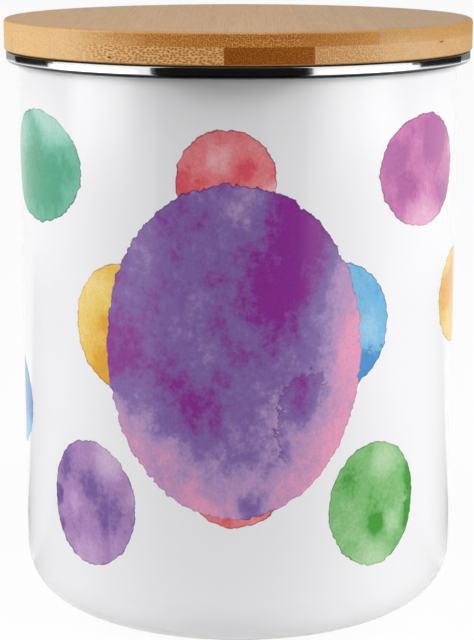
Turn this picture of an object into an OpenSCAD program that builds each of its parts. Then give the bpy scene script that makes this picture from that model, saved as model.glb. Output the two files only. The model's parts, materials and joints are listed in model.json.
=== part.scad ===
// Biscuit tin: an enamelled steel can with a rolled metal rim, closed by a laminated
// bamboo lid whose plug carries a silicone seal.
// The tin stands on the XY plane with its axis on Z, and its front faces -Y.
// All sizes are in millimetres.

/* [Can] */
// Outside diameter of the can's wall
can_d = 122.5; // [100:0.5:160]
// Height of the top of the rim, where the lid seats, above the table
seat_h = 156; // [90:0.5:240]
// Thickness of the enamelled sheet
wall_t = 1; // [0.8:0.05:1.4]
// Outside radius of the drawn corner between wall and base
corner_r = 14; // [6:0.5:20]
// Radius of the turned-out mouth, on its hollow side
mouth_bend_r = 0.2; // [0.1:0.05:1]

/* [Base] */
// Width of the flat foot that the can stands on
foot_w = 5; // [3:0.5:10]
// Height of the raised panel inside the foot
panel_rise = 1.2; // [0.5:0.1:2]
// Width of the slope between foot and panel
panel_slope_w = 3; // [2:0.25:6]

/* [Rim ring] */
// Width of the ring's rolled section, from the can's wall outwards
rim_section_w = 3.12; // [2.6:0.02:5]
// Height of the ring's rolled section
rim_section_h = 3.2; // [2.6:0.1:5]
// Outside radius of the section's lower outer corner
rim_lower_r = 1.2; // [0.7:0.1:1.2]
// Outside radius of the section's upper outer corner
rim_upper_r = 0.5; // [0.4:0.05:0.9]
// Width of the section's two folded corners, beside the can's wall
rim_fold = 0.5; // [0.3:0.05:0.6]
// Thickness of the ring's sheet
rim_sheet_t = 0.4; // [0.2:0.05:0.6]

/* [Lid] */
// How far the lid's edge stands out past the rim
lid_overhang = 0.43; // [0:0.01:3]
// Thickness of the upper ply
upper_ply_t = 3.8; // [2.5:0.1:8]
// Thickness of the lower ply
lower_ply_t = 4.6; // [2.5:0.1:8]
// Where a glued joint of both plies lies, across the lid
joint_x = -3.5; // [-8:0.5:8]
// Width of a whole strip in the upper ply
upper_strip_w = 19.6; // [14:0.2:26]
// Strips of the upper ply to the left of that joint, the last one cut by the lid's edge
upper_left_strips = 3; // [1:1:3]
// Strips of the upper ply to its right
upper_right_strips = 3; // [1:1:4]
// Width of a whole strip in the lower ply
lower_strip_w = 22.6; // [14:0.2:26]
// Strips of the lower ply to the left of that joint
lower_left_strips = 3; // [1:1:3]
// Strips of the lower ply to its right
lower_right_strips = 3; // [1:1:3]
// Radius of the rounded upper edge
edge_r = 1; // [0.5:0.1:2]
// Width of the chamfer on the lower edge
edge_chamfer = 0.3; // [0.2:0.1:1.5]

/* [Plug] */
// Depth of the plug below the lid
plug_h = 9; // [8.5:0.5:20]
// Width of the gap between the plug and the can's wall
plug_gap = 2.25; // [1.5:0.05:4]
// Width of a whole strip in the plug
plug_strip_w = 24; // [14:0.5:36]
// Strips of the plug on each side of the one in the middle
plug_side_strips = 2; // [1:1:2]
// Width of the chamfer that leads the plug into the mouth
plug_chamfer = 0.8; // [0.2:0.1:1.2]
// Depth of the seal's groove
groove_depth = 2; // [1:0.1:4]
// Height of the seal's groove
groove_h = 4; // [3.2:0.1:4.6]
// Height of the land between the groove and the lid
groove_land = 3.4; // [2.8:0.1:3.6]

/* [Seal] */
// Thickness of a fin at its root
fin_root_t = 1; // [0.6:0.05:1.2]
// Thickness of a fin at its tip
fin_tip_t = 0.5; // [0.3:0.05:0.7]
// How far a fin's tip stands above its root
fin_lift = 0.8; // [0.2:0.1:0.9]
// Distance from one fin to the next
fin_pitch = 1.8; // [1.5:0.1:2]

/* [Fits] */
// Gap between the lid's underside and the rim
seat_gap = 0.3; // [0.1:0.05:0.6]
// Gap between the seal's fins and the can's wall
seal_gap = 0.2; // [0.1:0.05:0.5]
// Running gap of the seal in its groove
groove_gap = 0.1; // [0.05:0.01:0.15]
// Gap between the can's turned-out edge and the inside of the ring
flange_gap = 0.3; // [0.1:0.05:0.6]

/* [Hidden] */
$fn = 128;

can_r = can_d / 2;
bore_r = can_r - wall_t;
foot_r = can_r - corner_r;
panel_r = foot_r - foot_w - panel_slope_w;
// Shift that keeps the sheet's thickness even through the panel's sloped step
slope_shift = wall_t * tan(atan2(panel_rise, panel_slope_w) / 2);

// The ring's section sits with its slot closed on the turned-out edge of the can
rim_z = seat_h - rim_section_h / 2;
flange_start_r = can_r + mouth_bend_r;
rim_outer_r = flange_start_r + rim_section_w;
flange_z = rim_z - wall_t / 2;
flange_end_r = rim_outer_r - rim_sheet_t - flange_gap;
wall_top_z = flange_z - mouth_bend_r;
// Flats that make up a rolled corner of the ring, and the narrowest flat inside one
corner_flats = 4;
least_flat = 0.2;

lid_r = rim_outer_r + lid_overhang;
lid_z = seat_h + seat_gap;
plug_r = bore_r - plug_gap;
plug_z = lid_z - plug_h;
groove_r = plug_r - groove_depth;
groove_z = lid_z - groove_land - groove_h;

seal_r = groove_r + groove_gap;
seal_z = groove_z + groove_gap;
seal_h = groove_h - 2 * groove_gap;
fin_tip_r = bore_r - seal_gap;
fin_count = 2;

// X positions of the joints of a ply, with the ply's two edges at the ends
function ply_edges(half_w, joint, strip_w, left, right) =
    [-half_w, for (k = [1 - left : right - 1]) joint + k * strip_w, half_w];

function strip_names(stem, edges) = [for (i = [1 : len(edges) - 1]) str(stem, "_strip_", i)];

upper_edges = ply_edges(lid_r, joint_x, upper_strip_w, upper_left_strips, upper_right_strips);
lower_edges = ply_edges(lid_r, joint_x, lower_strip_w, lower_left_strips, lower_right_strips);
plug_edges = ply_edges(plug_r, -plug_strip_w / 2, plug_strip_w, plug_side_strips, plug_side_strips + 1);
upper_names = strip_names("lid_upper", upper_edges);
lower_names = strip_names("lid_lower", lower_edges);
plug_names = strip_names("lid_plug", plug_edges);

// Colours of pale, amber and caramel bamboo, and the tone of each strip from left to right
bamboo = ["#E5C08A", "#C4904F", "#96591F"];
upper_tones = [0, 0, 1, 1, 1, 0];
lower_tones = [0, 0, 0, 2, 0, 0];
plug_tones = [0, 1, 0, 0, 1];
function tone(tones, i) = bamboo[tones[i % len(tones)]];

// Quarter turn of bent sheet, drawn from angle turn to turn + 90
module bend(outer_r, sheet_t, turn) {
    rotate(turn)
        intersection() {
            difference() {
                circle(outer_r);
                circle(outer_r - sheet_t);
            }
            square(outer_r);
        }
}

// Raised panel, its sloped step and the flat foot, from the axis outwards
module base_section() {
    step_r = panel_r + panel_slope_w;
    polygon([
        [0, panel_rise],
        [panel_r, panel_rise],
        [step_r, 0],
        [foot_r, 0],
        [foot_r, wall_t],
        [step_r + slope_shift, wall_t],
        [panel_r + slope_shift, panel_rise + wall_t],
        [0, panel_rise + wall_t]
    ]);
}

// Deep-drawn can with its mouth turned out into a flange
module can_body() {
    color("#F4F3F6")
        rotate_extrude() {
            base_section();
            translate([foot_r, corner_r])
                bend(corner_r, wall_t, -90);
            translate([bore_r, corner_r])
                square([wall_t, wall_top_z - corner_r]);
            translate([flange_start_r, wall_top_z])
                bend(mouth_bend_r + wall_t, wall_t, 90);
            translate([flange_start_r, flange_z])
                square([flange_end_r - flange_start_r, wall_t]);
        }
}

// Points of a quarter turn about a centre, from angle turn to turn + 90
function corner_points(x, y, r, turn) =
    [for (k = [0 : corner_flats])
        let (angle = turn + 90 * k / corner_flats)
            [x + r * cos(angle), y + r * sin(angle)]];

// Width of the flat that keeps the sheet's thickness inside a corner
function inner_flat(r) = max(least_flat, (r - rim_sheet_t) * (2 - sqrt(2)));

// Outside of the ring's rolled section, with its lower folded corner at the origin
module rim_outside(w, h) {
    polygon(concat(
        [[0, h - rim_fold], [0, rim_fold], [rim_fold, 0]],
        corner_points(w - rim_lower_r, rim_lower_r, rim_lower_r, -90),
        corner_points(w - rim_upper_r, h - rim_upper_r, rim_upper_r, 0),
        [[rim_fold, h]]
    ));
}

// Hollow of the ring's rolled section, in the same place
module rim_hollow(w, h) {
    left = rim_sheet_t;
    right = w - rim_sheet_t;
    low = rim_sheet_t;
    high = h - rim_sheet_t;
    fold = max(least_flat, rim_fold - rim_sheet_t * (2 - sqrt(2)));
    lower = inner_flat(rim_lower_r);
    upper = inner_flat(rim_upper_r);
    polygon([
        [left, high - fold],
        [left, low + fold],
        [left + fold, low],
        [right - lower, low],
        [right, low + lower],
        [right, high - upper],
        [right - upper, high],
        [left + fold, high]
    ]);
}

// Bright metal ring rolled over the can's flange, with a slot that grips it
module rim_ring() {
    color("#C9CBCF")
        rotate_extrude()
            difference() {
                translate([flange_start_r, seat_h - rim_section_h])
                    difference() {
                        rim_outside(rim_section_w, rim_section_h);
                        rim_hollow(rim_section_w, rim_section_h);
                    }
                translate([flange_start_r, flange_z])
                    square([2 * rim_sheet_t, wall_t]);
            }
}

// Silicone ring in the plug's groove, with fins that wipe the can's wall
module seal_ring() {
    band_r = plug_r;
    fin_z = seal_z + (seal_h - (fin_count - 1) * fin_pitch - fin_root_t - fin_lift) / 2;
    color("#EDEEEF")
        rotate_extrude() {
            translate([seal_r, seal_z])
                square([band_r - seal_r, seal_h]);
            for (k = [0 : fin_count - 1])
                translate([0, fin_z + k * fin_pitch])
                    polygon([
                        [seal_r, 0],
                        [band_r, 0],
                        [fin_tip_r, fin_lift],
                        [fin_tip_r, fin_lift + fin_tip_t],
                        [band_r, fin_root_t],
                        [seal_r, fin_root_t]
                    ]);
        }
}

// Upper ply: a disc with a rounded upper edge
module upper_ply() {
    translate([0, 0, lid_z + lower_ply_t])
        rotate_extrude() {
            square([lid_r - edge_r, upper_ply_t]);
            square([lid_r, upper_ply_t - edge_r]);
            translate([lid_r - edge_r, upper_ply_t - edge_r])
                bend(edge_r, edge_r, 0);
        }
}

// Lower ply: a disc with a chamfered lower edge
module lower_ply() {
    translate([0, 0, lid_z])
        rotate_extrude()
            polygon([
                [0, 0],
                [lid_r - edge_chamfer, 0],
                [lid_r, edge_chamfer],
                [lid_r, lower_ply_t],
                [0, lower_ply_t]
            ]);
}

// Plug: a disc that enters the mouth, with a groove round it for the seal
module plug_ply() {
    rotate_extrude()
        polygon([
            [0, plug_z],
            [plug_r - plug_chamfer, plug_z],
            [plug_r, plug_z + plug_chamfer],
            [plug_r, groove_z],
            [groove_r, groove_z],
            [groove_r, groove_z + groove_h],
            [plug_r, groove_z + groove_h],
            [plug_r, lid_z],
            [0, lid_z]
        ]);
}

// One bamboo strip of the ply given as a child, between two neighbouring joints
module strip(edges, i) {
    ply_r = edges[len(edges) - 1];
    intersection() {
        children();
        translate([edges[i], -ply_r, plug_z])
            cube([edges[i + 1] - edges[i], 2 * ply_r, lid_z + lower_ply_t + upper_ply_t - plug_z]);
    }
}

module lid_upper_strip(i) {
    color(tone(upper_tones, i))
        strip(upper_edges, i)
            upper_ply();
}

module lid_lower_strip(i) {
    color(tone(lower_tones, i))
        strip(lower_edges, i)
            lower_ply();
}

module lid_plug_strip(i) {
    color(tone(plug_tones, i))
        strip(plug_edges, i)
            plug_ply();
}

can_body();
rim_ring();
seal_ring();
for (i = [0 : len(upper_names) - 1])
    lid_upper_strip(i);
for (i = [0 : len(lower_names) - 1])
    lid_lower_strip(i);
for (i = [0 : len(plug_names) - 1])
    lid_plug_strip(i);
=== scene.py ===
"""Looks of an enamelled biscuit tin with a laminated bamboo lid, built round its CAD frame.

Lengths are in metres, in the frame of the CAD model: the tin stands on the XY plane with its axis
on Z, and the front of its print faces -Y.
"""

import json
import math
from collections import namedtuple

import bmesh
import bpy
from bpy.props import FloatProperty, FloatVectorProperty, PointerProperty
from bpy.types import Operator, Panel, PropertyGroup
from mathutils import Matrix, Vector


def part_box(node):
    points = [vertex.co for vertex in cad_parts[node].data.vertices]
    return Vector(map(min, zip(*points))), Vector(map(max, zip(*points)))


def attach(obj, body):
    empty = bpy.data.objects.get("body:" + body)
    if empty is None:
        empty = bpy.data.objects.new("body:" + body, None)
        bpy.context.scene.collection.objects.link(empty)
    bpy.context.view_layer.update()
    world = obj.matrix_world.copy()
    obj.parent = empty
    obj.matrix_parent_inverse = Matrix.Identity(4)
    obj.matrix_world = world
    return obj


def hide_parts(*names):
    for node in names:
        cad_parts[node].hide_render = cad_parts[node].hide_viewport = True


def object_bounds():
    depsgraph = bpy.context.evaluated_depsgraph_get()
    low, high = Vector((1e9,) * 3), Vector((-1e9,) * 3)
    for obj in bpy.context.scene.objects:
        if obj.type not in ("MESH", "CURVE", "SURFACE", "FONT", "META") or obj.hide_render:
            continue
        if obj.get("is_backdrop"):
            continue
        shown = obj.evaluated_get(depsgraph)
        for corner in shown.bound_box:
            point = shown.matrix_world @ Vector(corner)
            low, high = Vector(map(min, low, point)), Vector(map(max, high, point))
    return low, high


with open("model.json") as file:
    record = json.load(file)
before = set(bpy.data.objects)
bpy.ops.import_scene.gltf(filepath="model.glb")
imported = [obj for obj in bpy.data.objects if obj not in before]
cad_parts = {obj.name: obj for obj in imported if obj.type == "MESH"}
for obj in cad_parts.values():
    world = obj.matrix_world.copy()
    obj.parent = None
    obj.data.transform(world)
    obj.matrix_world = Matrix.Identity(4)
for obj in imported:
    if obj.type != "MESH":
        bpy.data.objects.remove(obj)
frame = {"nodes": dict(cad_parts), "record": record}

bl_info = {
    "name": "Biscuit Tin",
    "version": (1, 0, 0),
    "blender": (4, 5, 0),
    "location": "3D View > Sidebar > Biscuit Tin",
    "description": "Models an enamelled biscuit tin with a laminated bamboo lid",
    "category": "Add Mesh",
}

CAD_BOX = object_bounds()
MM = 0.001
WHITE = (1.0, 1.0, 1.0, 1.0)
ORIGIN = (0.0, 0.0, 0.0)
UPWARDS = (0.0, 0.0, 1.0)
# Steps of a full turn and of a card, the widest step of an arc in degrees, and how near points merge
TURN_STEPS = 256
SWEEP_STEPS = 24
ARC_STEP = 7.5
MERGE = 1e-7
# Edges that are bent further than this look sharp
SHARP_ANGLE = math.radians(35.0)
# Flat ring that keeps the shading of the lid's edge off its top
FLAT_MARGIN = 0.4 * MM
QUARTER_TURN = Matrix.Rotation(math.pi / 2, 3, "Z")


# What the frame gives


def ply_nodes(ply):
    """Names of a ply's strips in the frame, from left to right."""
    names = [name for name in frame["nodes"] if name.startswith(f"lid_{ply}_strip_")]
    return sorted(names, key=lambda name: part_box(name)[0].x)


def ply_box(ply):
    """Lowest and highest corner of a whole ply."""
    corners = [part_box(name) for name in ply_nodes(ply)]
    low = Vector(min(low[k] for low, _ in corners) for k in range(3))
    high = Vector(max(high[k] for _, high in corners) for k in range(3))
    return low, high


CAN_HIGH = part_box("can_body")[1]
RIM_LOW, RIM_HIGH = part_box("rim_ring")
SEAL_LOW, SEAL_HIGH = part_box("seal_ring")
UPPER_LOW, UPPER_HIGH = ply_box("upper")


# Print

Wash = namedtuple("Wash", "pale light main deep")
# Colours of the paint from where water thinned it most to where it settled, and its tint where it dried
WASHES = {
    "teal": Wash("#AEDACB", "#86C8B2", "#62B598", "#3EA27B"),
    "coral": Wash("#F8CFC8", "#F0ACB1", "#EC858B", "#E65967"),
    "orchid": Wash("#E9B2CF", "#DA94BF", "#CB75AE", "#B25C9E"),
    "amber": Wash("#F9E098", "#F5D478", "#F0C657", "#E8A626"),
    "sky": Wash("#A9D5EC", "#90C8E8", "#74BAE3", "#4593D4"),
    "plum": Wash("#D3B5D8", "#C19FCC", "#AE88BE", "#7E5FA2"),
    "leaf": Wash("#B5D8AB", "#9BCB91", "#80BE76", "#4A9F3E"),
    "violet": Wash("#ECA0C2", "#B495C6", "#886AAE", "#8E3196"),
}
DRIED_TINT = (0.34, 0.32, 0.38, 1.0)

# A spot in a dot where the paint settled, or thinned where its load is below zero: its place as shares
# of the dot's half width and half height, how far it reaches, and the load that it adds
Spot = namedtuple("Spot", "right up reach load")
# A bloom, where a wet wash ran back into a dot and dried with a sharp edge: its place and its reach
Bloom = namedtuple("Bloom", "right up reach")
NO_BLOOM = Bloom(0.0, 0.0, -1.0)
# How far the edge of most dots wavers, in millimetres
WAVER = 1.1
# A dot of the print: its wash, its middle round the wall from the front and up from the table, its width
# and height, its spots, its bloom, and how far its edge wavers
Dot = namedtuple("Dot", "wash arc height wide tall spots bloom waver")


def dot(wash, arc, height, wide, tall, *spots, bloom=NO_BLOOM, waver=WAVER):
    """A dot with any number of spots."""
    return Dot(wash, arc, height, wide, tall, [Spot(*spot) for spot in spots], bloom, waver)


FRONT_DOTS = (
    dot(
        "coral", -3.1, 127, 26, 26.2,
        (-0.8, -0.05, 0.55, 0.5), (0.4, 0.25, 0.5, 0.35), (0.3, -0.3, 0.5, 0.25),
        (-0.15, 0.45, 0.6, -0.5), (1.05, -0.3, 0.45, -1.2),
    ),
    dot(
        "teal", -65.3, 127, 41, 30.1,
        (0.2, -0.15, 1.2, 0.5), (0.2, -0.05, 0.25, 0.3), (0.8, 0.0, 0.4, 0.25),
        (0.5, 0.85, 0.7, -1.1), (-0.5, 0.5, 0.5, -0.6), (0.0, 1.0, 0.4, -0.9),
        bloom=Bloom(0.2, -0.05, 0.16),
    ),
    dot(
        "orchid", 57.4, 126.7, 36, 30,
        (0.3, 0.5, 0.9, 0.9), (-0.75, 0.3, 0.5, 0.5), (-0.4, -0.25, 0.4, 0.6), (0.6, -0.45, 0.5, 0.6),
        (-0.2, 0.45, 0.3, -0.4), (0.0, -1.0, 0.8, -1.0), (0.9, 0.3, 0.3, -0.4),
        bloom=Bloom(-0.45, -0.3, 0.18),
    ),
    dot(
        "amber", -32, 87.6, 30, 33.4,
        (-0.3, -0.7, 0.6, 1.0), (-0.25, 0.0, 0.4, 0.6), (-0.7, 0.6, 0.7, -0.6), (-0.9, -0.2, 0.4, -0.3),
        bloom=Bloom(0.3, -0.6, 0.4),
    ),
    dot(
        "sky", 27.6, 88.2, 30, 33.4,
        (0.5, -0.8, 0.7, 0.7), (0.5, 0.8, 0.7, 0.3), (0.6, -0.1, 0.6, -0.45),
        bloom=Bloom(0.6, -0.9, 0.5),
    ),
    dot(
        "amber", 83.3, 88.8, 31, 27,
        (-0.3, 0.2, 1.1, 0.5), (-0.7, 0.8, 0.6, -0.55), (-0.6, -0.5, 0.5, -0.4),
    ),
    dot("sky", -89, 57.8, 30.6, 25, (0.7, 0.5, 1.2, 1.0), (0.7, -0.7, 0.5, -0.4)),
    dot(
        "plum", -43.2, 37.9, 29.8, 34.6,
        (0.4, -0.05, 0.6, 0.5), (-0.05, 0.35, 0.4, 0.4), (-0.7, 0.5, 0.35, 0.5),
        (-0.98, 0.0, 0.28, 0.9), (-0.88, -0.5, 0.24, 0.9), (0.45, 0.85, 0.6, -0.7),
        (-0.45, 0.0, 0.35, -0.45), (-0.1, -0.9, 0.6, -0.5), (1.0, 0.2, 0.4, -0.4),
        bloom=Bloom(-0.98, -0.25, 0.22),
    ),
    dot(
        "leaf", 39.2, 38.5, 29.2, 34.2,
        (1.0, 0.3, 0.45, 1.0), (0.95, -0.35, 0.4, 0.9), (0.0, -0.35, 0.36, 0.7), (-0.6, 0.45, 0.5, 0.4),
        (0.0, 0.05, 0.5, 0.2), (0.2, 0.7, 0.45, -1.0), (0.45, -0.35, 0.34, -0.7), (-0.05, -0.95, 0.6, -0.9),
        bloom=Bloom(0.95, 0.0, 0.24),
    ),
    dot("coral", -0.8, 49.5, 28, 28, (0.0, -0.4, 1.1, 0.5), (0.4, -0.9, 0.6, -0.4)),
)
LARGE_DOT = dot(
    "violet", -1.4, 82, 70.3, 88.4,
    (0.5, 0.66, 0.62, 0.5), (0.6, 0.9, 0.35, 0.4), (0.15, 0.36, 0.5, 0.36), (-0.3, -0.32, 0.42, 0.45),
    (-1.0, -0.02, 0.45, 0.45), (-0.6, 0.1, 0.7, 0.2), (0.12, -0.94, 0.16, 0.7), (0.58, -0.32, 0.3, 0.25),
    (0.0, 0.9, 0.4, -0.14), (0.85, 0.5, 0.35, -0.4), (1.15, 0.0, 0.55, -1.7), (0.9, -0.7, 0.75, -1.0),
    (0.3, -0.95, 0.7, -0.55), (0.45, -0.25, 0.45, -0.22), (-0.85, -0.75, 0.8, -0.7),
    (-0.3, -1.05, 0.6, -0.6),
    bloom=Bloom(0.6, -0.42, 0.28),
    waver=2.0,
)

# Rows that carry the print on round the back, between the last dots of the front
BackRow = namedtuple("BackRow", "height start end washes")
BACK_ROWS = (
    BackRow(127, 57.4, 322, ("amber", "plum", "leaf", "sky")),
    BackRow(86, 83.3, 296, ("teal", "coral", "orchid")),
    BackRow(41, 56, 300, ("amber", "coral", "teal", "orchid")),
)
BACK_DOT_SIZE = 31
# Reach and load of the two spots in each of their dots
BACK_POOL = (1.1, 0.36)
BACK_THIN = (1.2, -0.55)
# Turn of the spots and of the sway from dot to dot, in radians, the spots' distance and the widest sway
BACK_TURN, BACK_WAVE, BACK_SPREAD, BACK_SWAY = 2.4, 1.9, 0.6, 5


def back_dots():
    """Dots of the back rows, evenly spaced between their two ends."""
    for row in BACK_ROWS:
        pitch = (row.end - row.start) / (len(row.washes) + 1)
        for k, wash in enumerate(row.washes):
            turn = BACK_TURN * k + row.height
            right, up = BACK_SPREAD * math.cos(turn), BACK_SPREAD * math.sin(turn)
            arc = row.start + pitch * (k + 1)
            rise = BACK_SWAY * math.sin(BACK_WAVE * k + row.height)
            size = BACK_DOT_SIZE
            spots = ((right, up, *BACK_POOL), (-right, -up, *BACK_THIN))
            yield dot(wash, arc, row.height + rise, size, size, *spots)


# Finishes of steel, bamboo and silicone

# Painted shade on the rim's downward faces, darkest in the crease over the wall
SHADED_STEEL = (0.13, 0.13, 0.14, 1.0)
CREASE_SHADE_STEEL = (0.12, 0.12, 0.13, 1.0)
DUST = (0.93, 0.93, 0.92, 1.0)
# Bamboo where it is dull, planed flat with a painted sheen, streaked, pored, pithy or knotted
DULL_TINT = (0.83, 0.86, 0.98, 1.0)
PLANED_SHEEN_GREY = (0.43, 0.36, 0.3, 1.0)
DARK_TINT = (0.66, 0.56, 0.42, 1.0)
DEEP_TINT = (0.4, 0.27, 0.14, 1.0)
PITH = (1.0, 0.72, 0.36, 1.0)
KNOT = (0.06, 0.035, 0.015, 1.0)
# Looks of the strips from left to right: tone at the left and right edge, from pale to caramel, darkness of
# the skin side, dullness, depth of the pores, and pores in a millimetre across and up
Look = namedtuple("Look", "left right skin dull depth across up")
STRIP_LOOKS = {
    "upper": (
        (0.05, 0.05, 0.08, 0.0, 0.2, 1.0, 1.8),
        (0.02, 0.3, 0.1, 0.0, 0.35, 1.4, 1.9),
        (0.34, 0.54, 0.16, 0.0, 0.55, 1.9, 2.0),
        (0.54, 0.54, 0.16, 0.0, 0.75, 2.2, 1.9),
        (0.56, 0.56, 0.1, 0.5, 0.35, 2.4, 2.0),
        (0.2, 0.42, 0.16, 1.0, 0.3, 2.0, 1.6),
    ),
    "lower": (
        (0.02, 0.05, 0.0, 0.0, 0.2, 0.9, 1.7),
        (0.02, 0.08, 0.0, 0.0, 0.85, 1.0, 1.7),
        (0.06, 0.14, 0.0, 0.2, 1.0, 1.0, 1.7),
        (1.0, 0.95, 0.0, 0.0, 0.3, 2.2, 1.9),
        (0.1, 0.12, 0.0, 0.8, 0.55, 2.3, 1.5),
        (0.14, 0.3, 0.0, 0.9, 0.35, 2.0, 1.5),
    ),
    "plug": (
        (0.1, 0.15, 0.0, 0.0, 0.5, 1.2, 1.4),
        (0.4, 0.35, 0.0, 0.0, 0.4, 1.6, 1.6),
        (0.12, 0.1, 0.0, 0.3, 0.7, 1.0, 1.4),
        (0.05, 0.1, 0.0, 0.0, 0.5, 1.4, 1.4),
        (0.45, 0.4, 0.0, 0.0, 0.4, 1.7, 1.5),
    ),
}
# Small dark knots in the lid's edge, in millimetres, and how fast each fades sideways, along the fibres
# and up
KNOTS = ((-32.5, -56.3, 157.8), (53.0, -37.6, 160.4))
KNOT_SPREAD = (1.4, 0.05, 3.4)


# Stage

FLOOR_HALF = 12.0
FLOOR_WHITE_SHARE = 0.94
# How far the floor throws light back on the tin, in millimetres
FLOOR_SHEET = (150.0, 420.0)
# Cards round the tin, from one angle to another with the camera's side at 0: the section of each kind as
# points of its distance from the tin's axis and its height, and the shade of each card
Flag = namedtuple("Flag", "name start end section shade")
FRONT_CARD = ((0.075, 0.0005), (0.42, 0.0005), (0.42, 0.9))
SIDE_CARD = ((0.42, 0.118), (0.42, 0.9))
# The low cards at the sides fade downwards, and those on the floor inwards and outwards
LOW_CARD = ((0.42, 0.106), (0.42, 0.118))
FLOOR_CARD = ((0.05, 0.0005), (0.085, 0.0005), (0.1, 0.0005), (0.42, 0.0005))
FLOOR_SIDE_CARD = ((0.05, 0.0005), (0.1, 0.0005), (0.4, 0.0005), (0.6, 0.0005))
# The faces of the softboxes glow, and their shade is how far their middle outshines the room
FACE_CARD = ((0.42, 0.02), (0.42, 0.13))
# Shares of a face's width where its glow starts, is full, fades and ends, and the heights between which it
# rises, in millimetres
FACE_GLOW = (0.0, 0.3, 0.6, 1.0)
FACE_RISE = (35.0, 105.0)
# The lips beside the rim only shade the wall below, and reflections see all the other cards
LIP_CARDS = (((0.0647, 0.1545), (0.0664, 0.1545)), ((0.0664, 0.1545), (0.0702, 0.1545)))
FLAGS = (
    Flag("front", -37, 31, FRONT_CARD, 0.003),
    Flag("front_edge_left", -39, -37, FRONT_CARD, 0.12),
    Flag("front_edge_right", 31, 33, FRONT_CARD, 0.12),
    Flag("side_edge_left", -97, -94, SIDE_CARD, 0.2),
    Flag("side_edge_right", 86, 91, SIDE_CARD, 0.2),
    Flag("side_left", -133, -97, SIDE_CARD, 0.01),
    Flag("side_right", 91, 133, SIDE_CARD, 0.01),
    Flag("side_low_left", -133, -98, LOW_CARD, 0.01),
    Flag("side_low_right", 92, 133, LOW_CARD, 0.01),
    Flag("back_left", -160, -133, SIDE_CARD, 0.45),
    Flag("back_right", 133, 160, SIDE_CARD, 0.3),
    Flag("floor_left", -97, -39, FLOOR_CARD, 0.06),
    Flag("floor_right", 33, 91, FLOOR_CARD, 0.06),
    Flag("floor_side_left", -133, -97, FLOOR_SIDE_CARD, 0.65),
    Flag("floor_side_right", 91, 133, FLOOR_SIDE_CARD, 0.62),
    Flag("face_left", -44, -98, FACE_CARD, 3.4),
    Flag("face_right", 33, 92, FACE_CARD, 2.8),
    Flag("lip_wide", -30, 28, LIP_CARDS[0], 0.1),
    Flag("lip_deep", -20, 18, LIP_CARDS[1], 0.1),
)
# Lamps by their angle round the tin, their height angle, their size and how bright their face is
Lamp = namedtuple("Lamp", "name azimuth elevation wide tall level")
LAMPS = (
    Lamp("softbox_left", -72.0, 20.0, 0.6, 0.6, 7.3),
    Lamp("softbox_right", 67.0, 18.0, 0.6, 0.6, 7.8),
    Lamp("front_fill", 0.0, 68.0, 0.9, 0.5, 1.9),
)
LAMP_DISTANCE = 1.0
LAMP_AIM = 0.1
# The axis of the photograph's view lies a little right of the picture's middle
CAMERA_SHIFT = -1.2 / 640


# Settings


def length(name, description, size):
    """A length that a user can change, with its size in millimetres."""
    return FloatProperty(name=name, description=description, default=size * MM, min=0.0, unit="LENGTH")


def colour(name, description, shade):
    """A colour that a user can change."""
    default = linear(shade)[:3]
    return FloatVectorProperty(
        name=name, description=description, default=default, size=3, min=0.0, max=1.0, subtype="COLOR"
    )


def angle(name, description, degrees):
    """An angle that a user can change."""
    return FloatProperty(name=name, description=description, default=math.radians(degrees), subtype="ANGLE")


def level(name, description, default):
    """A share or a brightness that a user can change."""
    return FloatProperty(name=name, description=description, default=default)


def linear(shade):
    """Linear colour with full alpha from a #RRGGBB shade."""
    parts = [int(shade[k : k + 2], 16) / 255 for k in (1, 3, 5)]
    return tuple(p / 12.92 if p <= 0.04045 else ((p + 0.055) / 1.055) ** 2.4 for p in parts) + (1.0,)


class CanSizes(PropertyGroup):
    """Sizes of the enamelled can."""

    wall_d: length("Wall diameter", "Outside diameter of the can's wall", 122.5)
    wall_t: length("Sheet", "Thickness of the enamelled sheet", 1)
    corner_r: length("Corner", "Outside radius of the corner at the base", 14)
    foot_w: length("Foot", "Width of the flat foot", 5)
    panel_rise: length("Panel rise", "Height of the raised panel inside the foot", 1.2)
    panel_slope_w: length("Panel slope", "Width of the slope between foot and panel", 3)
    mouth_bend_r: length("Mouth bend", "Hollow radius of the turned-out mouth", 0.2)


class RimSizes(PropertyGroup):
    """Sizes of the rolled ring."""

    sheet_t: length("Sheet", "Thickness of the ring's sheet", 0.4)
    lower_r: length("Lower corner", "Radius of the ring's lower outer corner", 1.2)
    upper_r: length("Upper corner", "Radius of the ring's upper outer corner", 0.5)
    fold_r: length("Folds", "Radius of the two folds beside the can's wall", 0.5)
    seam_w: length("Seam", "Gap between the ends of the rolled strip", 0.15)


class LidSizes(PropertyGroup):
    """Sizes of the lid's edges and of its plug."""

    edge_r: length("Upper edge", "Radius of the lid's rounded upper edge", 1)
    edge_chamfer: length("Lower edge", "Width of the chamfer on the lid's lower edge", 0.3)
    plug_chamfer: length("Lead-in", "Width of the plug's chamfer", 0.8)
    groove_depth: length("Groove depth", "Depth of the seal's groove", 2)
    groove_h: length("Groove height", "Height of the seal's groove", 4)
    groove_land: length("Groove land", "Height from the groove up to the lid", 3.4)


class SealSizes(PropertyGroup):
    """Sizes of the silicone seal."""

    groove_gap: length("Groove gap", "Running gap of the seal in its groove", 0.1)
    fin_root_t: length("Fin root", "Thickness of a fin at its root", 1)
    fin_tip_t: length("Fin tip", "Thickness of a fin at its tip", 0.5)
    fin_lift: length("Fin lift", "How far a fin's tip stands above its root", 0.8)
    fin_pitch: length("Fin pitch", "Distance from one fin to the next", 1.8)


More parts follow.
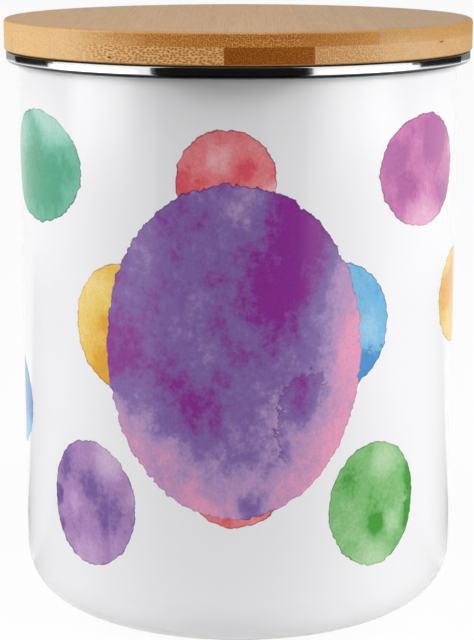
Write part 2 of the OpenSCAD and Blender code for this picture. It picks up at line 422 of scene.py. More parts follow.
class TinColours(PropertyGroup):
    """Colours of the tin's finishes, apart from the print."""

    enamel: colour("Enamel", "White of the enamel", "#F6F5F7")
    steel: colour("Rim", "Polished stainless steel", "#F0F0F2")
    silicone: colour("Silicone", "Milky silicone of the seal", "#E4E6E7")
    bamboo_pale: colour("Pale bamboo", "Bamboo strips as they grew", "#EEC48E")
    bamboo_amber: colour("Amber bamboo", "Lightly steamed bamboo strips", "#D8A25A")
    bamboo_caramel: colour("Caramel bamboo", "Darkly steamed bamboo strips", "#B47612")


class StageSettings(PropertyGroup):
    """Camera and light of the studio."""

    camera_distance: length("Distance", "From the tin's axis forwards to the camera", 566.3)
    camera_height: length("Height", "From the table up to the camera", 198.1)
    camera_pitch: angle("Pitch", "How far the camera looks down", 11.95)
    camera_view: angle("View", "The camera's upright angle of view", 18.06)
    lamp_level: level("Lamps", "Share of full light that the lamps give", 1.0)
    room_front: level("Room in front", "Brightness of the room in front", 0.02)
    room_back: level("Room behind", "Brightness of the room behind", 0.15)


class TinSettings(PropertyGroup):
    """All that a user can change."""

    can: PointerProperty(type=CanSizes)
    rim: PointerProperty(type=RimSizes)
    lid: PointerProperty(type=LidSizes)
    seal: PointerProperty(type=SealSizes)
    colours: PointerProperty(type=TinColours)
    stage: PointerProperty(type=StageSettings)


# Mesh helpers


class Outline:
    """A section drawn in the XZ plane, one run after another, and then turned about Z."""

    def __init__(self, x, z):
        self.bm = bmesh.new()
        self.start = self.bm.verts.new((x, 0.0, z))
        self.end = self.start

    def line(self, x, z):
        """Straight run to a point."""
        tip = self.bm.verts.new((x, 0.0, z))
        self.bm.edges.new((self.end, tip))
        self.end = tip
        return self

    def spin(self, parts, centre, axis, angle, steps, **settings):
        """Turns parts of the section, and leaves their path behind."""
        return bmesh.ops.spin(
            self.bm, geom=parts, cent=centre, axis=axis, angle=angle, steps=steps, **settings
        )

    def arc(self, x, z, degrees):
        """Round run about a centre, counter-clockwise where degrees are above zero."""
        steps = max(2, math.ceil(abs(degrees) / ARC_STEP))
        centre, axis = (x, 0.0, z), (0.0, -1.0, 0.0)
        made = self.spin([self.end], centre, axis, math.radians(degrees), steps, use_duplicate=False)
        self.end = next(part for part in made["geom_last"] if isinstance(part, bmesh.types.BMVert))
        return self

    def close(self):
        """Straight run back to the start."""
        self.bm.edges.new((self.end, self.start))
        return self

    def sweep(self, start, end):
        """The open sheet that the section leaves behind from one angle about Z to another."""
        turn = Matrix.Rotation(math.radians(start), 3, "Z")
        bmesh.ops.rotate(self.bm, verts=self.bm.verts, cent=ORIGIN, matrix=turn)
        parts = self.bm.verts[:] + self.bm.edges[:]
        self.spin(parts, ORIGIN, UPWARDS, math.radians(end - start), SWEEP_STEPS)
        return self.bm

    def turn(self, seam=0.0):
        """The solid of revolution, left open by the angle seam behind it and closed with flat ends."""
        parts = self.bm.verts[:] + self.bm.edges[:]
        self.spin(parts, ORIGIN, UPWARDS, math.tau - seam, TURN_STEPS, use_merge=seam == 0.0)
        bmesh.ops.remove_doubles(self.bm, verts=self.bm.verts, dist=MERGE)
        if seam:
            bmesh.ops.holes_fill(self.bm, edges=[edge for edge in self.bm.edges if edge.is_boundary])
        bmesh.ops.recalc_face_normals(self.bm, faces=self.bm.faces)
        return self.bm


def cut_strip(bm, left, right):
    """Keeps what lies between two upright planes, and closes the cuts."""
    for x, inwards in ((left, 1.0), (right, -1.0)):
        cut = bmesh.ops.bisect_plane(
            bm,
            geom=bm.verts[:] + bm.edges[:] + bm.faces[:],
            dist=MERGE,
            plane_co=(x, 0.0, 0.0),
            plane_no=(inwards, 0.0, 0.0),
            clear_inner=True,
        )
        edges = [part for part in cut["geom_cut"] if isinstance(part, bmesh.types.BMEdge)]
        if edges:
            bmesh.ops.edgenet_fill(bm, edges=edges)
    bmesh.ops.recalc_face_normals(bm, faces=bm.faces)
    return bm


def new_object(name, bm, material):
    """An object of a finished mesh."""
    mesh = bpy.data.meshes.new(name)
    bm.to_mesh(mesh)
    bm.free()
    mesh.materials.append(material)
    made = bpy.data.objects.new(name, mesh)
    bpy.context.scene.collection.objects.link(made)
    return made


def add_piece(name, bm, material, body, nodes, slot):
    """Adds a piece of the tin in place of the CAD nodes, which it hides, and hangs it on its body."""
    for face in bm.faces:
        face.smooth = True
    piece = new_object(name, bm, material)
    piece.data.set_sharp_from_angle(angle=SHARP_ANGLE)
    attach(piece, body)
    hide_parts(*nodes)
    return piece


# Material helpers


class Board:
    """Adds nodes to one tree and joins them, so that a finish reads from top to bottom."""

    def __init__(self, tree):
        self.tree = tree
        self.shader = tree.nodes.get("Principled BSDF")

    def put(self, socket, value):
        """Joins a socket to another, or sets its value."""
        if isinstance(value, bpy.types.NodeSocket):
            self.tree.links.new(value, socket)
        else:
            socket.default_value = value

    def node(self, kind, inputs, **settings):
        """A node with its settings and inputs."""
        made = self.tree.nodes.new(f"ShaderNode{kind}")
        for name, value in settings.items():
            setattr(made, name, value)
        for key, value in inputs.items():
            self.put(made.inputs[key], value)
        return made

    def math(self, operation, *values):
        """A sum of one to three values."""
        return self.node("Math", dict(enumerate(values)), operation=operation).outputs[0]

    def times(self, a, b):
        """The product of two values."""
        return self.math("MULTIPLY", a, b)

    def minus(self, a, b):
        """The difference of two values."""
        return self.math("SUBTRACT", a, b)

    def scale_add(self, a, b, c):
        """The product of two values and a third one added."""
        return self.math("MULTIPLY_ADD", a, b, c)

    def reach(self, a, b):
        """How far out two values reach together, as the sides of a square corner do."""
        return self.math("SQRT", self.scale_add(a, a, self.times(b, b)))

    def vector(self, operation, a, b):
        """A sum of two vectors."""
        return self.node("VectorMath", {0: a, 1: b}, operation=operation).outputs[0]

    def step(self, value, start, end, low=0.0, high=1.0):
        """A smooth step of a value, from low at start to high at end."""
        inputs = {"Value": value, "From Min": start, "From Max": end, "To Min": low, "To Max": high}
        return self.node("MapRange", inputs, interpolation_type="SMOOTHSTEP").outputs[0]

    def mix(self, share, a, b, blend_type="MIX"):
        """Colour a with a share of colour b."""
        inputs = {0: share, 6: a, 7: b}
        return self.node("Mix", inputs, data_type="RGBA", blend_type=blend_type).outputs[2]

    def tint(self, a, b):
        """Colour a seen through colour b."""
        return self.mix(1.0, a, b, "MULTIPLY")

    def noise(self, vector, scale, detail=3.0, roughness=0.5):
        """Soft cloudy noise from 0 to 1."""
        inputs = {"Vector": vector, "Scale": scale, "Detail": detail, "Roughness": roughness}
        return self.node("TexNoise", inputs).outputs[0]

    def coordinate(self, name):
        """One of the texture coordinates."""
        return self.node("TexCoord", {}).outputs[name]

    def place(self):
        """Object coordinates in millimetres."""
        return self.vector("MULTIPLY", self.coordinate("Object"), (1 / MM,) * 3)

    def length(self, vector):
        """Length of a vector."""
        return self.node("VectorMath", {0: vector}, operation="LENGTH").outputs["Value"]

    def join(self, x=0.0, y=0.0, z=0.0):
        """A vector of its X, Y and Z."""
        return self.node("CombineXYZ", {0: x, 1: y, 2: z}).outputs[0]

    def mark(self, name):
        """X, Y and Z of a piece's own attribute."""
        return self.split(self.node("Attribute", {}, attribute_name=name).outputs["Vector"])

    def split(self, vector):
        """X, Y and Z of a vector."""
        return self.node("SeparateXYZ", {0: vector}).outputs[:3]

    def bump(self, height, strength, distance):
        """A normal that follows a height."""
        inputs = {"Height": height, "Strength": strength, "Distance": distance}
        return self.node("Bump", inputs).outputs[0]

    def shade(self, **inputs):
        """Sets or joins inputs of the tree's shader by name, with _ for a space."""
        for name, value in inputs.items():
            self.put(self.shader.inputs[name.replace("_", " ")], value)


def new_finish(name):
    """A new material, and the board that its nodes go on."""
    material = bpy.data.materials.new(name)
    material.use_nodes = True
    return material, Board(material.node_tree)


# Enamel and its print


def dot_group(spots):
    """Node group that paints one watercolour dot with a number of spots over what lies below it."""
    tree = bpy.data.node_groups.new(f"watercolour_dot_{spots}", "ShaderNodeTree")
    numbers = (
        "Angle", "Height", "Edge", "Cloud", "Grain", "At angle", "At height", "Half angle", "Half height",
        "Waver", "Ink below", *(f"Bloom {part}" for part in Bloom._fields),
        *(f"Spot {k} {part}" for k in range(spots) for part in Spot._fields),
    )
    sockets = (
        ("INPUT", "Float", numbers),
        ("INPUT", "Color", ("Below", "Pale", "Light", "Main", "Deep")),
        ("OUTPUT", "Color", ("Colour",)),
        ("OUTPUT", "Float", ("Ink",)),
    )
    for side, kind, names in sockets:
        for name in names:
            tree.interface.new_socket(name, in_out=side, socket_type=f"NodeSocket{kind}")
    board = Board(tree)
    mix, step, times, minus, scale_add = board.mix, board.step, board.times, board.minus, board.scale_add
    given = tree.nodes.new("NodeGroupInput").outputs

    def offset(name):
        """How far right and up a place in the dot lies from the middle of a spot or a bloom."""
        aside = minus(right, given[f"{name} right"])
        return aside, minus(up, given[f"{name} up"])

    # Place in the dot as shares of its half width and half height, and the depth inside its edge
    turned = board.math("WRAP", minus(given["Angle"], given["At angle"]), math.pi, -math.pi)
    right = board.math("DIVIDE", turned, given["Half angle"])
    up = board.math("DIVIDE", minus(given["Height"], given["At height"]), given["Half height"])
    inside = times(minus(1.0, board.reach(right, up)), given["Half height"])
    depth = scale_add(given["Edge"], given["Waver"], inside)
    ink = step(depth, -0.1, 0.1)

    # Load of paint, with a sudden rise at the edge of the bloom that faces the middle of the dot
    load = given["Cloud"]
    for k in range(spots):
        away = board.reach(*offset(f"Spot {k}"))
        added = step(away, given[f"Spot {k} reach"], 0.0, 0.0, given[f"Spot {k} load"])
        load = board.math("ADD", load, added)
    aside, rise = offset("Bloom")
    bloom = minus(given["Bloom reach"], board.reach(aside, rise))
    bloom = times(bloom, given["Half height"])
    bloom = scale_add(minus(given["Cloud"], 0.55), 8.0, bloom)
    bloom = scale_add(given["Edge"], 4.0, bloom)
    outwards = times(rise, given["Bloom up"])
    sharp = step(scale_add(aside, given["Bloom right"], outwards), 0.05, -0.08)
    line = times(step(bloom, -0.1, 0.05), step(bloom, 0.7, 0.1))
    line = times(line, sharp)
    load = scale_add(times(step(bloom, -0.1, 0.1), sharp), 0.22, load)
    paint = mix(step(load, -0.5, 0.3), given["Pale"], given["Light"])
    paint = mix(step(load, 0.12, 0.58), paint, given["Main"])
    paint = mix(step(load, 0.55, 1.05), paint, given["Deep"])
    dried = board.tint(given["Deep"], DRIED_TINT)
    paint = mix(times(line, 0.45), paint, dried)

    # Grain of the pigment, and the thin dark line where the paint dried at the edge
    paint = board.tint(paint, step(given["Grain"], 0.25, 0.75, 0.9, 1.08))
    rim = times(step(depth, 0.45, 0.05), step(load, -0.2, 0.6, 0.4, 0.9))
    paint = mix(rim, paint, dried)

    made = tree.nodes.new("NodeGroupOutput")
    board.put(made.inputs["Colour"], mix(ink, given["Below"], paint))
    board.put(made.inputs["Ink"], board.math("MAXIMUM", ink, given["Ink below"]))
    return tree


def enamel_finish(can, colours):
    """Glossy white enamel with watercolour dots printed round the outside."""
    material, board = new_finish("printed_enamel")
    minus, noise, scale_add = board.minus, board.noise, board.scale_add
    place = board.place()
    x, y, z = board.split(place)
    angle = board.math("ARCTAN2", x, board.times(y, -1.0))
    middle_of_wall = (can.wall_d / 2 - can.wall_t / 2) / MM
    outside = board.math("GREATER_THAN", board.reach(x, y), middle_of_wall)

    upright = board.vector("MULTIPLY", place, (1.0, 1.0, 0.7))
    clouds = minus(noise(upright, 0.05, 2.0, 0.5), 0.5)
    blotches = minus(noise(upright, 0.15, 6.0, 0.62), 0.5)
    mottle = minus(noise(place, 0.5, 4.0, 0.7), 0.5)
    cloud = scale_add(clouds, 1.0, scale_add(blotches, 1.2, 0.55))
    cloud = scale_add(mottle, 0.8, cloud)
    scallops = board.node("TexVoronoi", {"Vector": place, "Scale": 0.42}).outputs["Distance"]
    wobble = minus(noise(place, 0.2, 4.0, 0.6), 0.5)
    nicks = minus(noise(place, 0.9, 2.0), 0.5)
    edge = scale_add(minus(scallops, 0.5), 0.6, wobble)
    shared = {
        "Angle": angle,
        "Height": z,
        "Edge": scale_add(nicks, 0.6, edge),
        "Cloud": cloud,
        "Grain": noise(place, 1.6, 3.0, 0.7),
    }
    tone = noise(place, 0.02, 2.0)
    greyer = [0.985 * part for part in colours.enamel]
    enamel = board.mix(board.step(tone, 0.3, 0.7), (*colours.enamel, 1.0), (*greyer, 1.0))
    below = enamel
    ink = 0.0
    dots = (*back_dots(), *FRONT_DOTS, LARGE_DOT)
    groups = {count: dot_group(count) for count in sorted({len(each.spots) for each in dots})}
    wall_r = can.wall_d / 2 / MM
    for each in dots:
        own = {
            "At angle": each.arc / wall_r,
            "At height": each.height,
            "Half angle": each.wide / 2 / wall_r,
            "Half height": each.tall / 2,
            "Waver": each.waver,
            "Below": below,
            "Ink below": ink,
        }
        own.update({part.title(): linear(shade) for part, shade in WASHES[each.wash]._asdict().items()})
        own.update({f"Bloom {part}": value for part, value in each.bloom._asdict().items()})
        for k, spot in enumerate(each.spots):
            own.update({f"Spot {k} {part}": value for part, value in spot._asdict().items()})
        painted = board.node("Group", {}, node_tree=groups[len(each.spots)])
        for name, value in {**shared, **own}.items():
            board.put(painted.inputs[name], value)
        below = painted.outputs["Colour"]
        ink = painted.outputs["Ink"]
    shown = board.times(ink, outside)
    base = board.mix(outside, enamel, below)
    ripple = noise(place, 0.09, 2.0)
    board.shade(
        Base_Color=base,
        Roughness=board.step(shown, 0.0, 1.0, 0.1, 0.2),
        IOR=1.52,
        Normal=board.bump(ripple, 0.05, 0.4 * MM),
    )
    return material


# Steel, bamboo and silicone


def steel_finish(colours):
    """Polished stainless steel with traces of polishing round it, and painted shade on its downward faces,
    darkest in the crease over the wall.
    """
    material, board = new_finish("rim_steel")
    x, y, z = board.split(board.place())
    round_place = board.join(board.reach(x, y), z, board.math("ARCTAN2", x, y))
    marks = board.noise(round_place, 9.0, 2.0, 0.6)
    facing = board.split(board.coordinate("Normal"))
    # Painted shade: the steel darkens where it faces down, and more in the crease over the wall
    bright = board.mix(board.step(facing[2], -0.02, -0.35), (*colours.steel, 1.0), SHADED_STEEL)
    painted_crease_shade = board.step(facing[2], -0.6, -0.9)
    board.shade(
        Base_Color=board.mix(painted_crease_shade, bright, CREASE_SHADE_STEEL),
        Metallic=1.0,
        Roughness=board.step(marks, 0.3, 0.7, 0.04, 0.11),
        Normal=board.bump(marks, 0.02, 0.02 * MM),
    )
    return material


def bamboo_finish(colours):
    """Oiled bamboo strips: their fibres run along Y, and each strip has its own tone and pores."""
    material, board = new_finish("bamboo")
    mix, step, times, minus, scale_add = board.mix, board.step, board.times, board.minus, board.scale_add
    place = board.place()
    x, y, z = board.split(place)
    left, right, seed = board.mark("strip_span")
    tone_left, tone_right, skin = board.mark("strip_tone")
    pore_depth, pores_across, pores_up = board.mark("strip_pores")
    # Share by which each strip is tinted duller
    dull = board.mark("strip_wear")[0]
    facing = board.split(board.coordinate("Normal"))
    end_grain = step(board.math("ABSOLUTE", facing[1]), 0.7, 1.0)
    planed = step(board.math("ABSOLUTE", facing[2]), 0.4, 0.9)
    # Painted shade on the faces that look down
    painted_underside_shade = step(facing[2], -0.2, -0.9)
    shift = board.join(z=times(seed, 37.0))
    grain = board.vector("MULTIPLY", board.vector("ADD", place, shift), (1.0, 0.02, 1.0))
    bands = board.noise(grain, 0.2, 3.0, 0.55)
    fibres = board.noise(grain, 2.4, 3.0, 0.6)

    # Tone of the strip, darker towards the skin of the culm, and more even on the planed faces
    across = board.math("DIVIDE", minus(x, left), minus(right, left))
    tone = scale_add(across, minus(tone_right, tone_left), tone_left)
    skin_side = step(z, UPPER_LOW.z / MM, UPPER_HIGH.z / MM)
    tone = scale_add(skin, skin_side, tone)
    tone = scale_add(minus(bands, 0.5), 0.25, tone)
    even = scale_add(tone, 0.15, step(bands, 0.3, 0.7, 0.38, 0.54))
    tone = scale_add(planed, minus(even, tone), tone)
    light = mix(step(tone, 0.0, 0.5), (*colours.bamboo_pale, 1.0), (*colours.bamboo_amber, 1.0))
    light = mix(step(tone, 0.5, 1.0), light, (*colours.bamboo_caramel, 1.0))
    soaked = board.node("Gamma", {"Color": light, "Gamma": 1.5}).outputs[0]
    light = mix(end_grain, light, soaked)
    light = mix(dull, light, board.tint(light, DULL_TINT))
    # Painted sheen: the planed faces are mixed towards a warm grey
    light = mix(times(planed, 0.4), light, PLANED_SHEEN_GREY)
    dark = board.tint(light, DARK_TINT)
    deep = board.tint(light, DEEP_TINT)
    pale = mix(0.5, light, PITH)
    streaks = step(fibres, 0.4, 0.75, 0.0, 0.45)
    streaks = times(streaks, step(planed, 0.0, 1.0, 1.0, 0.08))
    wood = mix(streaks, light, dark)

    # Fibre bundles: dark dots in pale pith on the end grain, and hair lines along the faces
    aside, _, rise = board.split(grain)
    spread = board.join(times(aside, pores_across), times(rise, pores_up))
    bundles = {"Vector": spread, "Scale": 1.0, "Randomness": 0.75}
    cells = board.node("TexVoronoi", bundles, voronoi_dimensions="2D").outputs
    depth = times(pore_depth, step(end_grain, 0.0, 0.6, 0.1, 1.0))
    chance = step(board.split(cells["Color"])[0], 0.0, 1.0, 0.75, 1.0)
    pores = times(step(cells["Distance"], 0.44, 0.2), times(depth, chance))
    pith = times(step(cells["Distance"], 0.36, 0.6), depth)
    wood = mix(times(pith, 0.5), wood, pale)
    wood = mix(times(pores, 0.8), wood, deep)

    # A knuckle of the culm crosses a few of the strips
    spot = board.math("FRACT", times(seed, 0.618))
    knuckle_y = scale_add(spot, 260.0, -130.0)
    off = board.math("ABSOLUTE", scale_add(bands, 3.0, minus(y, knuckle_y)))
    wood = mix(step(off, 2.2, 0.3, 0.0, 0.18), wood, dark)

    for knot in KNOTS:
        off = board.vector("MULTIPLY", board.vector("SUBTRACT", place, knot), KNOT_SPREAD)
        away = board.length(off)
        wood = mix(step(away, 1.2, 0.4, 0.0, 0.8), wood, KNOT)

    # Thin glue lines between the strips, a painted highlight on the lower edge and painted shade on the
    # underside
    to_joint = board.math("MINIMUM", minus(x, left), minus(right, x))
    wood = mix(step(to_joint, 0.16, 0.03, 0.0, 0.14), wood, deep)
    # Painted highlight: the lower chamfer is mixed towards the pale pith colour
    painted_edge_highlight = times(step(facing[2], 0.0, -0.3), step(facing[2], -0.9, -0.8))
    wood = mix(times(painted_edge_highlight, 0.6), wood, pale)
    # Painted shade: the underside is mixed towards the deep tint
    wood = mix(times(painted_underside_shade, 0.5), wood, deep)
    relief = scale_add(pores, -0.8, fibres)
    board.shade(
        Base_Color=wood,
        Roughness=step(fibres, 0.3, 0.7, 0.45, 0.6),
        IOR=1.42,
        Specular_IOR_Level=0.18,
        Normal=board.bump(relief, step(planed, 0.0, 1.0, 0.25, 0.04), 0.08 * MM),
    )
    return material


def silicone_finish(colours):
    """Milky silicone with a faint bloom of dust."""
    material, board = new_finish("silicone")
    dust = board.noise(board.place(), 1.5, 4.0, 0.6)
    shade = (*colours.silicone, 1.0)
    board.shade(
        Base_Color=board.mix(board.step(dust, 0.45, 0.75, 0.0, 0.25), shade, DUST),
        Roughness=board.step(dust, 0.3, 0.7, 0.38, 0.5),
        IOR=1.41,
        Subsurface_Weight=0.35,
        Subsurface_Scale=1.2 * MM,
    )
    return material


# Operators


class TIN_OT_can(Operator):
    """Models the deep-drawn can with its raised base and turned-out mouth"""

    bl_idname = "tin.can"
    bl_label = "Enamelled Can"

    def execute(self, context):
        tin = context.scene.biscuit_tin
        can = tin.can
        sheet = can.wall_t
        wall_r = can.wall_d / 2
        bore_r = wall_r - sheet
        foot_r = wall_r - can.corner_r
        step_r = foot_r - can.foot_w
        panel_r = step_r - can.panel_slope_w
        slope = math.atan2(can.panel_rise, can.panel_slope_w)
        shift = sheet * math.tan(slope / 2)
        flange_top = CAN_HIGH.z
        flange_low = flange_top - sheet
        bend_x = wall_r + can.mouth_bend_r
        wall_top = flange_low - can.mouth_bend_r

        outline = Outline(0.0, can.panel_rise)
        outline.line(panel_r, can.panel_rise).line(step_r, 0.0).line(foot_r, 0.0)
        outline.arc(foot_r, can.corner_r, 90.0).line(wall_r, wall_top)
        outline.arc(bend_x, wall_top, -90.0).line(CAN_HIGH.x, flange_low)
        outline.line(CAN_HIGH.x, flange_top).line(bend_x, flange_top)
        outline.arc(bend_x, wall_top, 90.0).line(bore_r, can.corner_r)
        outline.arc(foot_r, can.corner_r, -90.0).line(step_r + shift, sheet)
        outline.line(panel_r + shift, can.panel_rise + sheet).line(0.0, can.panel_rise + sheet)
        finish = enamel_finish(can, tin.colours)
        add_piece("enamelled_can", outline.turn(), finish, "can", ["can_body"], "enamel")
        return {"FINISHED"}


class TIN_OT_rim(Operator):
    """Models the bright ring that is rolled over the can's mouth"""

    bl_idname = "tin.rim"
    bl_label = "Rolled Rim"

    def execute(self, context):
        tin = context.scene.biscuit_tin
        rim = tin.rim
        sheet = rim.sheet_t
        inner_x = tin.can.wall_d / 2 + tin.can.mouth_bend_r
        corners = (
            (inner_x + rim.fold_r, RIM_LOW.z + rim.fold_r, rim.fold_r),
            (RIM_HIGH.x - rim.lower_r, RIM_LOW.z + rim.lower_r, rim.lower_r),
            (RIM_HIGH.x - rim.upper_r, RIM_HIGH.z - rim.upper_r, rim.upper_r),
            (inner_x + rim.fold_r, RIM_HIGH.z - rim.fold_r, rim.fold_r),
        )
        slot_low, slot_high = CAN_HIGH.z - tin.can.wall_t, CAN_HIGH.z

        outline = Outline(inner_x, slot_low)
        for k, (x, z, r) in enumerate(corners):
            start = math.radians(180.0 + 90.0 * k)
            outline.line(x + r * math.cos(start), z + r * math.sin(start)).arc(x, z, 90.0)
        outline.line(inner_x, slot_high).line(inner_x + sheet, slot_high)
        for k, (x, z, r) in reversed(list(enumerate(corners))):
            start = math.radians(270.0 + 90.0 * k)
            bore_r = r - sheet
            outline.line(x + bore_r * math.cos(start), z + bore_r * math.sin(start)).arc(x, z, -90.0)
        outline.line(inner_x + sheet, slot_low).close()
        bm = outline.turn(seam=rim.seam_w / RIM_HIGH.x)
        bmesh.ops.rotate(bm, verts=bm.verts, cent=ORIGIN, matrix=QUARTER_TURN)
        add_piece("rolled_rim", bm, steel_finish(tin.colours), "can", ["rim_ring"], "rim_steel")
        return {"FINISHED"}


class TIN_OT_seal(Operator):
    """Models the silicone seal with its two wiping fins"""

    bl_idname = "tin.seal"
    bl_label = "Silicone Seal"

    def execute(self, context):
        tin = context.scene.biscuit_tin
        seal = tin.seal
        plug_r = ply_box("plug")[1].x
        inner_r = plug_r - tin.lid.groove_depth + seal.groove_gap
        tip_r = SEAL_HIGH.x
        free = SEAL_HIGH.z - SEAL_LOW.z - seal.fin_pitch - seal.fin_root_t - seal.fin_lift
        tip_half = seal.fin_tip_t / 2
        outline = Outline(inner_r, SEAL_LOW.z).line(plug_r, SEAL_LOW.z)
        for k in range(2):
            root_z = SEAL_LOW.z + free / 2 + k * seal.fin_pitch
            tip_z = root_z + seal.fin_lift
            outline.line(plug_r, root_z).line(tip_r - tip_half, tip_z)
            outline.arc(tip_r - tip_half, tip_z + tip_half, 180.0)
            outline.line(plug_r, root_z + seal.fin_root_t)
        outline.line(plug_r, SEAL_HIGH.z).line(inner_r, SEAL_HIGH.z).close()
        finish = silicone_finish(tin.colours)
        add_piece("silicone_seal", outline.turn(), finish, "seal", ["seal_ring"], "silicone")
        return {"FINISHED"}


class TIN_OT_lid(Operator):
    """Models the bamboo strips of the lid's two plies and of its plug"""

    bl_idname = "tin.lid"
    bl_label = "Bamboo Lid"

    def execute(self, context):
        tin = context.scene.biscuit_tin
        finish = bamboo_finish(tin.colours)
        slots = {part["node"]: part["material_slot"] for part in frame["record"]["subparts"]}
        for number, (ply, outline) in enumerate(self.outlines(tin.lid)):
            whole = outline.turn()
            for k, node in enumerate(ply_nodes(ply)):
                low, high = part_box(node)
                bm = cut_strip(whole.copy(), low.x, high.x)
                name = f"{ply}_strip_{k + 1}"
                piece = add_piece(name, bm, finish, "lid", [node], slots[node])
                seed = 11 * number + 3 * k + 1
                look = Look(*STRIP_LOOKS[ply][k])
                self.mark(piece, "strip_span", (low.x / MM, high.x / MM, seed))
                self.mark(piece, "strip_tone", (look.left, look.right, look.skin))
                self.mark(piece, "strip_pores", (look.depth, look.across, look.up))
                self.mark(piece, "strip_wear", (look.dull, 0.0, 0.0))
            whole.free()
        return {"FINISHED"}

    def outlines(self, lid):
        """The section of each ply, from the top down."""
        low, high = ply_box("upper")
        crown = high.x - lid.edge_r
        upper = Outline(0.0, low.z).line(high.x, low.z).line(high.x, high.z - lid.edge_r)
        upper.arc(crown, high.z - lid.edge_r, 90.0).line(crown - FLAT_MARGIN, high.z).line(0.0, high.z)
        yield "upper", upper

        low, high = ply_box("lower")
        lower = Outline(0.0, low.z).line(high.x - lid.edge_chamfer, low.z)
        lower.line(high.x, low.z + lid.edge_chamfer).line(high.x, high.z).line(0.0, high.z)
        yield "lower", lower

        low, high = ply_box("plug")
        groove_top = high.z - lid.groove_land
        groove_low = groove_top - lid.groove_h
        groove_r = high.x - lid.groove_depth
        plug = Outline(0.0, low.z).line(high.x - lid.plug_chamfer, low.z)
        plug.line(high.x, low.z + lid.plug_chamfer).line(high.x, groove_low).line(groove_r, groove_low)
        plug.line(groove_r, groove_top).line(high.x, groove_top).line(high.x, high.z).line(0.0, high.z)
        yield "plug", plug

    def mark(self, piece, name, values):
        """Gives every point of a piece the same three numbers, which its finish reads."""
        marks = piece.data.attributes.new(name, "FLOAT_VECTOR", "POINT")
        marks.data.foreach_set("vector", values * len(piece.data.vertices))


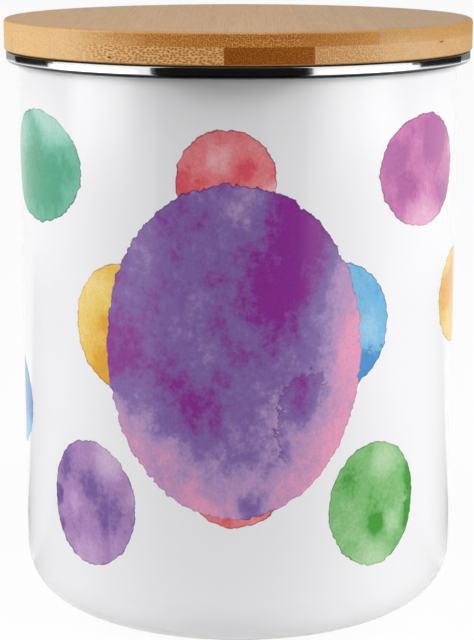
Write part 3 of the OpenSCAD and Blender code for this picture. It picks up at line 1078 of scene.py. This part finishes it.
class TIN_OT_stage(Operator):
    """Sets up the floor, the lights and the camera"""

    bl_idname = "tin.stage"
    bl_label = "Stage"

    def execute(self, context):
        stage = context.scene.biscuit_tin.stage
        context.scene.view_settings.view_transform = "Standard"
        self.world(context, stage)
        self.floor()
        self.flags()
        self.softboxes(stage)
        self.camera(context, stage)
        return {"FINISHED"}

    def world(self, context, stage):
        """A soft room, brighter behind the tin, that is white to the eye and in reflections."""
        world = bpy.data.worlds.new("studio")
        world.use_nodes = True
        context.scene.world = world
        board = Board(world.node_tree)
        towards = board.split(board.coordinate("Generated"))
        room = board.step(towards[1], -0.5, 0.7, stage.room_front, stage.room_back)
        background = world.node_tree.nodes["Background"]
        board.put(background.inputs["Color"], WHITE)
        board.put(background.inputs["Strength"], board.math("MAXIMUM", self.seen(board), room))

    def seen(self, board):
        """1 where the eye or a reflection looks at the stage, and 0 where it lights the tin."""
        path = board.node("LightPath", {}).outputs
        straight = board.math("MAXIMUM", path["Is Camera Ray"], path["Is Transmission Ray"])
        return board.math("MAXIMUM", straight, path["Is Glossy Ray"])

    def stage_piece(self, name, bm, material):
        """Adds a piece that isn't part of the tin."""
        piece = new_object(name, bm, material)
        piece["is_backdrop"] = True
        return piece

    def floor(self):
        """A wide pale floor that looks white and keeps the tin's shadow."""
        material, board = new_finish("floor")
        grain = board.noise(board.place(), 0.01, 2.0)
        pale = board.mix(board.step(grain, 0.3, 0.7), (0.9, 0.9, 0.9, 1.0), (0.92, 0.92, 0.92, 1.0))
        away = board.length(board.place())
        bounce = board.mix(board.step(away, *FLOOR_SHEET), (0.7, 0.7, 0.7, 1.0), (0.06, 0.06, 0.06, 1.0))
        pale = board.mix(self.seen(board), bounce, pale)
        board.shade(Base_Color=pale, Roughness=0.9)
        white = board.node("Emission", {"Color": WHITE, "Strength": 1.0})
        share = board.times(self.seen(board), FLOOR_WHITE_SHARE)
        mixed = board.node("MixShader", {0: share, 1: board.shader.outputs[0], 2: white.outputs[0]})
        board.put(material.node_tree.nodes["Material Output"].inputs["Surface"], mixed.outputs[0])
        bm = bmesh.new()
        bmesh.ops.create_grid(bm, x_segments=1, y_segments=1, size=FLOOR_HALF)
        self.stage_piece("floor", bm, material)

    def flags(self):
        """Cards round the tin that give the bright rim its bands, and lips that shade the wall under it."""
        for flag in FLAGS:
            material, board = new_finish(f"card_{flag.name}")
            shade = (flag.shade, flag.shade, flag.shade, 1.0)
            x, y, z = board.split(board.place())
            if flag.section is FACE_CARD:
                angle = board.math("ARCTAN2", x, board.times(y, -1.0))
                turn = flag.end - flag.start
                start, rise, fall, end = (math.radians(flag.start + share * turn) for share in FACE_GLOW)
                glow = board.times(board.step(angle, start, rise), board.step(angle, end, fall))
                glow = board.times(glow, board.step(z, *FACE_RISE))
                glow = board.scale_add(glow, flag.shade, 1.0)
                board.shade(Emission_Color=WHITE, Emission_Strength=glow)
                shade = (0.0, 0.0, 0.0, 1.0)
            elif flag.section in (FLOOR_CARD, FLOOR_SIDE_CARD):
                away = board.reach(x, y)
                low, rise, fall, high = (point[0] / MM for point in flag.section)
                alpha = board.times(board.step(away, low, rise), board.step(away, high, fall))
                board.shade(Alpha=alpha)
            elif flag.section is LOW_CARD:
                board.shade(Alpha=board.step(z, *(point[1] / MM for point in LOW_CARD)))
            board.shade(Base_Color=shade, Roughness=1.0)
            outline = Outline(*flag.section[0])
            for point in flag.section[1:]:
                outline.line(*point)
            bm = outline.sweep(flag.start - 90.0, flag.end - 90.0)
            card = self.stage_piece(f"card_{flag.name}", bm, material)
            card.visible_camera = card.visible_diffuse = card.visible_transmission = False
            card.visible_glossy = flag.section not in LIP_CARDS
            card.visible_shadow = flag.section in LIP_CARDS

    def softboxes(self, stage):
        """A large softbox on each side of the tin, and a soft light high in front."""
        for lamp in LAMPS:
            light = bpy.data.lights.new(lamp.name, "AREA")
            light.shape = "RECTANGLE"
            light.size = lamp.wide
            light.size_y = lamp.tall
            light.energy = lamp.level * stage.lamp_level * math.pi * lamp.wide * lamp.tall
            made = bpy.data.objects.new(lamp.name, light)
            made.visible_glossy = False
            bpy.context.scene.collection.objects.link(made)
            azimuth = math.radians(lamp.azimuth)
            rise = math.radians(lamp.elevation)
            level = math.cos(rise)
            away = Vector((math.sin(azimuth) * level, -math.cos(azimuth) * level, math.sin(rise)))
            made.location = Vector((0.0, 0.0, LAMP_AIM)) + LAMP_DISTANCE * away
            made.rotation_euler = (-away).to_track_quat("-Z", "Y").to_euler()

    def camera(self, context, stage):
        """The photograph's view: a little above the lid and looking down."""
        data = bpy.data.cameras.new("camera")
        data.sensor_fit = "VERTICAL"
        data.angle_y = stage.camera_view
        data.shift_x = CAMERA_SHIFT
        camera = bpy.data.objects.new("camera", data)
        camera.location = (0.0, -stage.camera_distance, stage.camera_height)
        camera.rotation_euler = (math.pi / 2 - stage.camera_pitch, 0.0, 0.0)
        context.scene.collection.objects.link(camera)
        context.scene.camera = camera


class TIN_PT_panel(Panel):
    """Lists the tin's settings and the steps that build it"""

    bl_label = "Biscuit Tin"
    bl_idname = "TIN_PT_panel"
    bl_space_type = "VIEW_3D"
    bl_region_type = "UI"
    bl_category = "Biscuit Tin"

    def draw(self, context):
        tin = context.scene.biscuit_tin
        for operator in OPERATORS:
            self.layout.operator(operator.bl_idname)
        for group in (tin.can, tin.rim, tin.lid, tin.seal, tin.colours, tin.stage):
            box = self.layout.box()
            for name in group.__annotations__:
                box.prop(group, name)


OPERATORS = (TIN_OT_can, TIN_OT_rim, TIN_OT_seal, TIN_OT_lid, TIN_OT_stage)
SETTINGS = (CanSizes, RimSizes, LidSizes, SealSizes, TinColours, StageSettings, TinSettings)
CLASSES = (*SETTINGS, *OPERATORS, TIN_PT_panel)


def register():
    for kind in CLASSES:
        bpy.utils.register_class(kind)
    bpy.types.Scene.biscuit_tin = PointerProperty(type=TinSettings)


def unregister():
    del bpy.types.Scene.biscuit_tin
    for kind in reversed(CLASSES):
        bpy.utils.unregister_class(kind)


def main():
    """Builds the tin and its stage."""
    register()
    bpy.ops.tin.can()
    bpy.ops.tin.rim()
    bpy.ops.tin.seal()
    bpy.ops.tin.lid()
    bpy.ops.tin.stage()
    boxes = {"cad": CAD_BOX, "visual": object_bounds()}
    {name: [list(corner) for corner in box] for name, box in boxes.items()}


if __name__ == "__main__":
    main()
